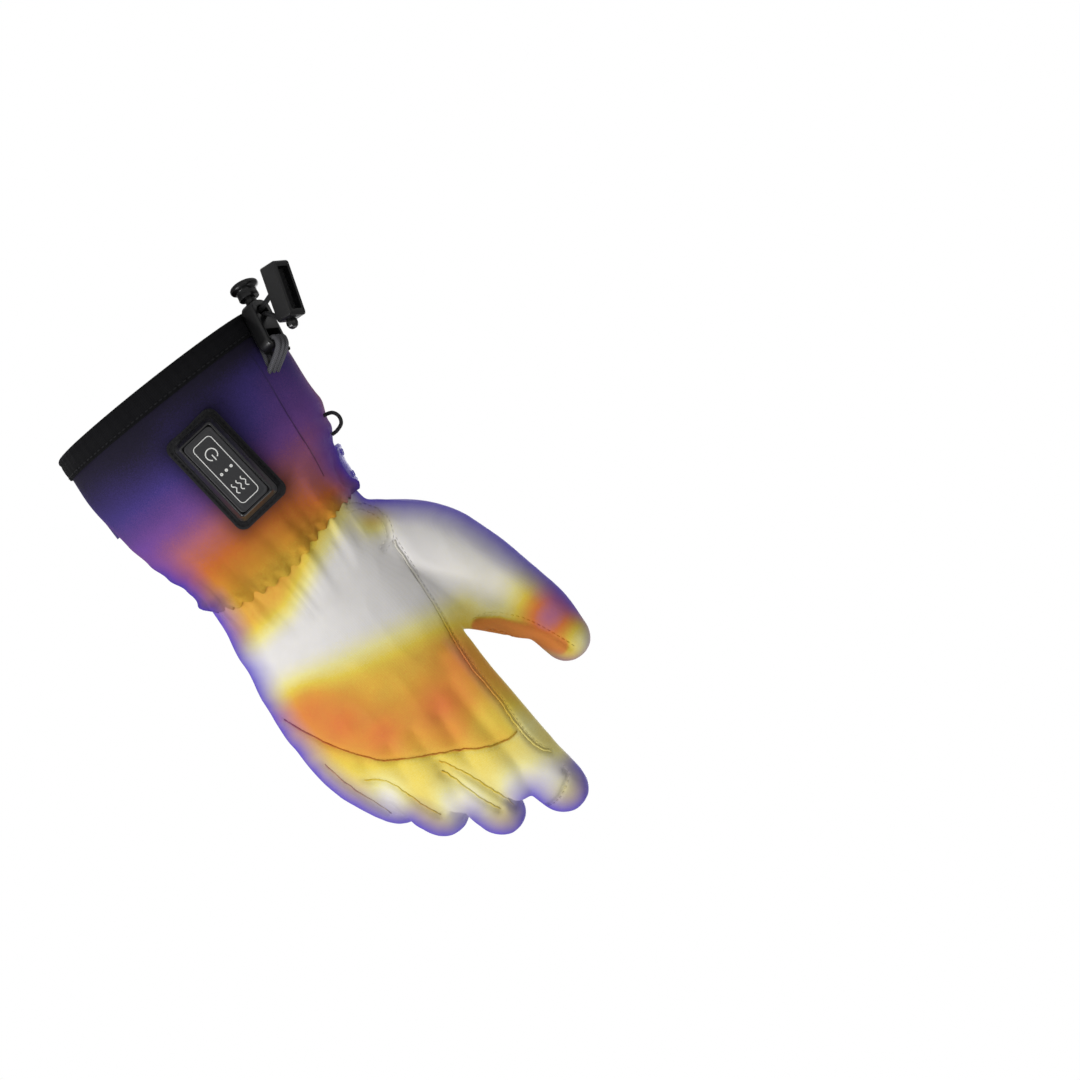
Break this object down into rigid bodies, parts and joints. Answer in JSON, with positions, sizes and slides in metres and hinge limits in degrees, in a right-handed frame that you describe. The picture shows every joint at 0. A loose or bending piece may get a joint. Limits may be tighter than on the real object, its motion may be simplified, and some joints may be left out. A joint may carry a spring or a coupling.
{
  "type": "heated glove",
  "caption": "Padded right-hand heated glove with a gauntlet cuff, heater control on the back, drawcord with cord lock, wrist strap and zipped battery pocket.",
  "frame": {"origin": "middle of the cuff mouth, in the plane of the hem's lower edge", "axes": "+Z from the cuff mouth to the fingertips, -Y out of the back of the hand, +Y out of the palm, -X to the thumb side"},
  "size_m": [0.1856, 0.1294, 0.3456],
  "materials": {
    "shell": "grained leather and woven back, coloured as a heat picture",
    "cuff": "fine woven softshell, black at the hem, violet and orange towards the wrist",
    "hem": "matt knit binding",
    "webbing": "coarse woven webbing",
    "plastic": "satin moulded plastic",
    "pad": "satin membrane with a plain pale print",
    "cord": "braided elastic",
    "strap": "moulded strap end, satin",
    "hook": "hook fabric",
    "tape": "woven zip tape and moulded coil",
    "metal": "dark plated metal",
    "tag": "satin woven tag with a plain border"
  },
  "bodies": {
    "glove": {"hand_shell": "shell", "cuff": "cuff", "hem_band": "hem", "box_base": "webbing", "control_box": "plastic", "control_pad": "pad", "anchor_loop": "webbing", "cord_lock": "plastic", "drawcord": "cord", "cord_pull": "plastic", "strap": "strap", "strap_pad": "hook", "zip_tape": "tape", "zip_slider": "metal", "side_tag": "tag", "hang_loop": "cord"},
    "plunger": {"lock_plunger": "plastic"},
    "zip_tab": {"zip_pull": "metal"}
  },
  "joints": [
    {"name": "plunger_press", "type": "slide", "parent": "glove", "child": "plunger", "axis": [0.1504, -0.3779, 0.9135], "range_m": [0, 0.003], "stiffness_N_per_m": 600, "springref_m": -0.003},
    {"name": "zip_tab_hinge", "type": "hinge", "parent": "glove", "child": "zip_tab", "pos_m": [0.00742, 0.05756, 0.03368], "axis": [0.1042, -0.0079, 0.9945], "range_deg": [0, 120]}
  ]
}
